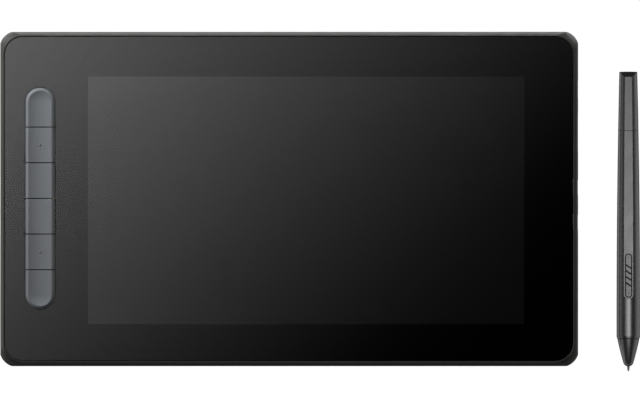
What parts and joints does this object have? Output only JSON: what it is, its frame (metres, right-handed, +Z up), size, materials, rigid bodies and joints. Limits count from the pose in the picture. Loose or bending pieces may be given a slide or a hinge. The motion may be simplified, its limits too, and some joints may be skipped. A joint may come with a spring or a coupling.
{
  "type": "graphics tablet with screen",
  "caption": "Slim pen display with an obround bank of dished keys in its left border, and its pen with a side rocker lying beside it.",
  "frame": {"origin": "on the desk plane, under the middle of the box round tablet and pen together", "axes": "+X to the right along the tablet's width, +Y away from the user, +Z up"},
  "size_m": [0.3266, 0.1733, 0.0125],
  "materials": {
    "housing": "satin moulded",
    "cover_glass": "etched anti-glare",
    "inner_frame": "moulded",
    "adhesive": "matt",
    "black_print": "matt",
    "clear_bond": "clear",
    "display_panel": "dark gloss",
    "optical_film": "white film",
    "clear_acrylic": "clear",
    "led_strip": "matt",
    "tray_metal": "rolled",
    "circuit_board": "solder mask",
    "foam": "open foam",
    "chip_black": "moulded",
    "connector_plastic": "moulded",
    "ribbon": "film",
    "screw_steel": "plated",
    "light_pipe": "frosted",
    "socket_steel": "drawn",
    "socket_tongue": "moulded",
    "edge_button": "satin moulded",
    "key_cap": "satin moulded",
    "rubber_foot": "matt",
    "pen_body": "satin moulded",
    "pen_strip": "satin moulded",
    "pen_rocker": "satin moulded",
    "pen_nib": "moulded",
    "coil_copper": "enamelled wire",
    "ferrite": "sintered"
  },
  "bodies": {
    "tablet": {"rear_shell": "housing", "cover_glass": "cover_glass", "usb_c_shells": "socket_steel", "foot_front_left": "rubber_foot", "foot_front_right": "rubber_foot", "foot_rear_left": "rubber_foot", "foot_rear_right": "rubber_foot", "support_frame": "inner_frame", "frame_tape": "adhesive", "border_print": "black_print", "optical_bond": "clear_bond", "lcd_panel": "display_panel", "diffuser_films": "optical_film", "light_guide": "clear_acrylic", "led_strip": "led_strip", "reflector_sheet": "optical_film", "backlight_tray": "tray_metal", "digitizer_board": "circuit_board", "shield_plate": "tray_metal", "foam_pads": "foam", "main_board": "circuit_board", "board_chips": "chip_black", "flex_connectors": "connector_plastic", "lcd_flex": "ribbon", "digitizer_flex": "ribbon", "key_board_flex": "ribbon", "key_switch_board": "circuit_board", "key_switches": "chip_black", "key_board_screws": "screw_steel", "main_board_screws": "screw_steel", "case_screws": "screw_steel", "power_switch": "chip_black", "brightness_switches": "chip_black", "power_light_pipe": "light_pipe", "usb_c_tongues": "socket_tongue"},
    "key_1": {"key_1": "key_cap"},
    "key_2": {"key_2": "key_cap"},
    "key_3": {"key_3": "key_cap"},
    "key_4": {"key_4": "key_cap"},
    "key_5": {"key_5": "key_cap"},
    "key_6": {"key_6": "key_cap"},
    "power_button": {"power_button": "edge_button"},
    "brightness_rocker": {"brightness_rocker": "edge_button"},
    "pen": {"pen_barrel": "pen_body", "pen_inlay": "pen_strip", "pen_end_cap": "pen_body", "pen_cap_inlay": "pen_strip", "pen_nose_cone": "pen_body", "pen_chassis": "inner_frame", "pen_circuit_board": "circuit_board", "pen_side_switches": "chip_black", "pen_coil": "coil_copper", "pen_ferrite_core": "ferrite", "pen_pressure_sensor": "connector_plastic", "pen_rocker_pin": "screw_steel"},
    "pen_tip": {"pen_nib": "pen_nib", "pen_nib_holder": "inner_frame"},
    "pen_rocker": {"pen_rocker": "pen_rocker"}
  },
  "joints": [
    {"name": "key_1_press", "type": "slide", "parent": "tablet", "child": "key_1", "axis": [0, 0, -1], "range_m": [0, 0.0005], "stiffness_N_per_m": 1500, "springref_m": -0.0003},
    {"name": "key_2_press", "type": "slide", "parent": "tablet", "child": "key_2", "axis": [0, 0, -1], "range_m": [0, 0.0005], "stiffness_N_per_m": 1500, "springref_m": -0.0003},
    {"name": "key_3_press", "type": "slide", "parent": "tablet", "child": "key_3", "axis": [0, 0, -1], "range_m": [0, 0.0005], "stiffness_N_per_m": 1500, "springref_m": -0.0003},
    {"name": "key_4_press", "type": "slide", "parent": "tablet", "child": "key_4", "axis": [0, 0, -1], "range_m": [0, 0.0005], "stiffness_N_per_m": 1500, "springref_m": -0.0003},
    {"name": "key_5_press", "type": "slide", "parent": "tablet", "child": "key_5", "axis": [0, 0, -1], "range_m": [0, 0.0005], "stiffness_N_per_m": 1500, "springref_m": -0.0003},
    {"name": "key_6_press", "type": "slide", "parent": "tablet", "child": "key_6", "axis": [0, 0, -1], "range_m": [0, 0.0005], "stiffness_N_per_m": 1500, "springref_m": -0.0003},
    {"name": "power_button_press", "type": "slide", "parent": "tablet", "child": "power_button", "axis": [-1, 0, 0], "range_m": [0, 0.00035], "stiffness_N_per_m": 1500, "springref_m": -0.0003},
    {"name": "brightness_rocker_tilt", "type": "hinge", "parent": "tablet", "child": "brightness_rocker", "pos_m": [0.12817, 0.03544, 0.00533], "axis": [0, 0, 1], "range_deg": [-1.5, 1.5], "stiffness_Nm_per_rad": 0.5},
    {"name": "pen_lift", "type": "slide", "parent": "tablet", "child": "pen", "axis": [0, 0, 1], "range_m": [0, 0.06]},
    {"name": "pen_nib_press", "type": "slide", "parent": "pen", "child": "pen_tip", "axis": [0, 0.9999, -0.0106], "range_m": [0, 0.0006], "stiffness_N_per_m": 1500, "springref_m": -0.0003},
    {"name": "pen_rocker_tilt", "type": "hinge", "parent": "pen", "child": "pen_rocker", "pos_m": [0.1573, -0.03781, 0.01002], "axis": [1, 0, 0], "range_deg": [-2, 2], "stiffness_Nm_per_rad": 0.3}
  ]
}
